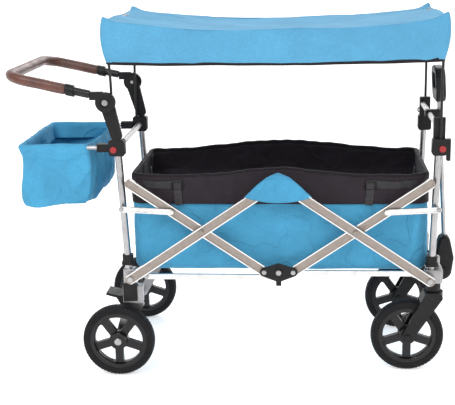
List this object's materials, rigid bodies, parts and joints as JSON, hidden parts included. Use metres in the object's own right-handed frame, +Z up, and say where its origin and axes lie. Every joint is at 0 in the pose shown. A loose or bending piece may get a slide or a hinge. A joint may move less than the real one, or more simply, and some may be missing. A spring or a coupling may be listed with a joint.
{
  "type": "kids pull wagon",
  "caption": "Folding fabric wagon on a scissor frame with a canopy, push bar, pull handle, storage bag, fixed rear wheels and front casters.",
  "frame": {"origin": "on the ground at the middle of the overall length and width", "axes": "+X towards the pull handle (front), +Y across the wagon, +Z up"},
  "size_m": [1.364, 0.57, 1.087],
  "materials": {
    "silver_tube": "satin anodised tube",
    "silver_bar": "anodised pressed bar",
    "casting": "die cast, satin",
    "steel": "zinc plated",
    "black_plastic": "fine grained",
    "black_rod": "powder coated",
    "red_button": "gloss",
    "leather": "stitched",
    "wheel_plastic": "moulded",
    "tyre": "matt",
    "blue_fabric": "woven",
    "canopy_blue": "woven",
    "black_fabric": "woven",
    "webbing": "webbing"
  },
  "bodies": {
    "rear_frame": {"rear_posts": "silver_tube", "rear_post_collars": "black_plastic", "rear_castings": "casting", "rear_head_blocks": "black_plastic", "rear_cross_tube": "silver_tube", "rear_axle": "steel", "handle_lower_arms": "black_plastic", "rear_frame_bolts": "steel", "basket_shell": "blue_fabric", "basket_liner": "black_fabric", "basket_trim": "black_fabric", "floor_mat": "black_fabric", "seat_harnesses": "webbing"},
    "rear_outer": {"rear_outer_bars": "silver_bar"},
    "rear_inner": {"rear_inner_bars": "silver_bar"},
    "bottom_bracket": {"bottom_middle_brackets": "black_plastic", "bottom_bracket_bolts": "steel"},
    "front_inner": {"front_inner_bars": "silver_bar"},
    "front_outer": {"front_outer_bars": "silver_bar"},
    "top_bracket": {"top_middle_brackets": "silver_bar", "side_flaps": "blue_fabric"},
    "rear_strut": {"rear_struts": "silver_bar"},
    "front_strut": {"front_struts": "silver_bar"},
    "rear_rail": {"rear_lower_rails": "silver_bar"},
    "front_rail": {"front_lower_rails": "silver_bar"},
    "front_frame": {"front_posts": "silver_tube", "front_post_collars": "black_plastic", "front_castings": "casting", "front_head_blocks": "black_plastic", "front_cross_tubes": "silver_tube", "front_frame_bolts": "steel", "tow_bracket": "black_plastic", "pull_clip": "black_plastic"},
    "near_caster": {"front_near_fork": "black_plastic"},
    "far_caster": {"front_far_fork": "black_plastic"},
    "front_near_wheel": {"front_near_tyre": "tyre", "front_near_rim": "wheel_plastic"},
    "front_far_wheel": {"front_far_tyre": "tyre", "front_far_rim": "wheel_plastic"},
    "rear_near_wheel": {"rear_near_tyre": "tyre", "rear_near_rim": "wheel_plastic"},
    "rear_far_wheel": {"rear_far_tyre": "tyre", "rear_far_rim": "wheel_plastic"},
    "canopy": {"canopy_fabric": "canopy_blue", "rear_canopy_bow": "black_rod"},
    "front_bow": {"front_canopy_bow": "black_rod"},
    "push_handle": {"handle_pivot_discs": "black_plastic", "push_bar_tube": "black_rod", "leather_grip": "leather", "grip_collars": "black_plastic"},
    "pull_handle": {"pull_tube": "silver_tube", "pull_grip": "black_plastic", "pull_boot": "black_plastic"},
    "bag": {"bag_pouch": "blue_fabric", "bag_frame": "silver_tube"},
    "foot_brake": {"foot_brake": "black_plastic"},
    "rear_near_button": {"rear_near_button": "red_button"},
    "rear_far_button": {"rear_far_button": "red_button"},
    "front_near_button": {"front_near_button": "red_button"},
    "front_far_button": {"front_far_button": "red_button"}
  },
  "joints": [
    {"name": "fold", "type": "hinge", "parent": "rear_frame", "child": "rear_outer", "pos_m": [-0.317, 0, 0.305], "axis": [0, -1, 0], "range_deg": [0, 44], "deforming": ["basket_shell", "basket_liner", "basket_trim", "floor_mat", "seat_harnesses", "canopy_fabric"]},
    {"name": "rear_crossing", "type": "hinge", "parent": "rear_outer", "child": "rear_inner", "pos_m": [-0.09648, 0, 0.45375], "axis": [0, -1, 0], "range_deg": [-88, 0]},
    {"name": "rear_bracket_pivot", "type": "hinge", "parent": "rear_inner", "child": "bottom_bracket", "pos_m": [0.0895, 0, 0.3283], "axis": [0, -1, 0], "range_deg": [0, 44]},
    {"name": "front_bracket_pivot", "type": "hinge", "parent": "bottom_bracket", "child": "front_inner", "pos_m": [0.1765, 0, 0.3283], "axis": [0, -1, 0], "range_deg": [0, 44]},
    {"name": "front_crossing", "type": "hinge", "parent": "front_inner", "child": "front_outer", "pos_m": [0.36248, 0, 0.45375], "axis": [0, -1, 0], "range_deg": [-88, 0]},
    {"name": "front_base_pivot", "type": "hinge", "parent": "front_outer", "child": "front_frame", "pos_m": [0.583, 0, 0.305], "axis": [0, -1, 0], "range_deg": [0, 44]},
    {"name": "top_bracket_pivot", "type": "hinge", "parent": "rear_outer", "child": "top_bracket", "pos_m": [0.0895, 0, 0.57919], "axis": [0, -1, 0], "range_deg": [-44, 0]},
    {"name": "rear_strut_pivot", "type": "hinge", "parent": "rear_frame", "child": "rear_strut", "pos_m": [-0.337, 0, 0.523], "axis": [0, -1, 0], "range_deg": [0, 74]},
    {"name": "front_strut_pivot", "type": "hinge", "parent": "front_frame", "child": "front_strut", "pos_m": [0.603, 0, 0.523], "axis": [0, -1, 0], "range_deg": [-74, 0]},
    {"name": "rear_rail_hinge", "type": "hinge", "parent": "rear_frame", "child": "rear_rail", "pos_m": [-0.272, 0, 0.305], "axis": [0, -1, 0], "range_deg": [0, 76]},
    {"name": "front_rail_hinge", "type": "hinge", "parent": "front_frame", "child": "front_rail", "pos_m": [0.538, 0, 0.315], "axis": [0, -1, 0], "range_deg": [-76, 0]},
    {"name": "canopy_lift", "type": "slide", "parent": "rear_frame", "child": "canopy", "axis": [0, 0, 1], "range_m": [0, 0.15]},
    {"name": "front_bow_lift", "type": "slide", "parent": "front_frame", "child": "front_bow", "axis": [0, 0, 1], "range_m": [0, 0.15]},
    {"name": "push_handle_tilt", "type": "hinge", "parent": "rear_frame", "child": "push_handle", "pos_m": [-0.373, 0, 0.844], "axis": [0, 1, 0], "range_deg": [-30, 45]},
    {"name": "pull_handle_swing", "type": "hinge", "parent": "front_frame", "child": "pull_handle", "pos_m": [0.645, 0, 0.266], "axis": [0, 1, 0], "range_deg": [0, 95]},
    {"name": "near_caster_swivel", "type": "hinge", "parent": "front_frame", "child": "near_caster", "pos_m": [0.601, -0.185, 0.284], "axis": [0, 0, 1], "continuous": true},
    {"name": "far_caster_swivel", "type": "hinge", "parent": "front_frame", "child": "far_caster", "pos_m": [0.601, 0.185, 0.284], "axis": [0, 0, 1], "continuous": true},
    {"name": "front_near_wheel_spin", "type": "hinge", "parent": "near_caster", "child": "front_near_wheel", "pos_m": [0.524, -0.185, 0.111], "axis": [0, 1, 0], "continuous": true},
    {"name": "front_far_wheel_spin", "type": "hinge", "parent": "far_caster", "child": "front_far_wheel", "pos_m": [0.524, 0.185, 0.111], "axis": [0, 1, 0], "continuous": true},
    {"name": "rear_near_wheel_spin", "type": "hinge", "parent": "rear_frame", "child": "rear_near_wheel", "pos_m": [-0.36, -0.258, 0.111], "axis": [0, 1, 0], "continuous": true},
    {"name": "rear_far_wheel_spin", "type": "hinge", "parent": "rear_frame", "child": "rear_far_wheel", "pos_m": [-0.36, 0.258, 0.111], "axis": [0, 1, 0], "continuous": true},
    {"name": "bag_slide", "type": "slide", "parent": "rear_frame", "child": "bag", "axis": [-1, 0, 0], "range_m": [0, 0.1]},
    {"name": "brake_press", "type": "hinge", "parent": "rear_frame", "child": "foot_brake", "pos_m": [-0.348, 0, 0.172], "axis": [0, -1, 0], "range_deg": [0, 20]},
    {"name": "rear_near_button_press", "type": "slide", "parent": "rear_frame", "child": "rear_near_button", "axis": [0, 1, 0], "range_m": [0, 0.003], "stiffness_N_per_m": 400, "springref_m": -0.002},
    {"name": "rear_far_button_press", "type": "slide", "parent": "rear_frame", "child": "rear_far_button", "axis": [0, -1, 0], "range_m": [0, 0.003], "stiffness_N_per_m": 400, "springref_m": -0.002},
    {"name": "front_near_button_press", "type": "slide", "parent": "front_frame", "child": "front_near_button", "axis": [0, 1, 0], "range_m": [0, 0.003], "stiffness_N_per_m": 400, "springref_m": -0.002},
    {"name": "front_far_button_press", "type": "slide", "parent": "front_frame", "child": "front_far_button", "axis": [0, -1, 0], "range_m": [0, 0.003], "stiffness_N_per_m": 400, "springref_m": -0.002}
  ],
  "couplings": [
    {"joint": "rear_crossing", "follows": "fold", "ratio": -2},
    {"joint": "rear_bracket_pivot", "follows": "fold", "ratio": 1},
    {"joint": "front_bracket_pivot", "follows": "fold", "ratio": 1},
    {"joint": "front_crossing", "follows": "fold", "ratio": -2},
    {"joint": "front_base_pivot", "follows": "fold", "ratio": 1},
    {"joint": "top_bracket_pivot", "follows": "fold", "ratio": -1},
    {"joint": "rear_strut_pivot", "follows": "fold", "ratio": 1.675},
    {"joint": "front_strut_pivot", "follows": "fold", "ratio": -1.675},
    {"joint": "rear_rail_hinge", "follows": "fold", "ratio": 1.72},
    {"joint": "front_rail_hinge", "follows": "fold", "ratio": -1.72},
    {"joint": "front_bow_lift", "follows": "canopy_lift", "ratio": 1}
  ]
}
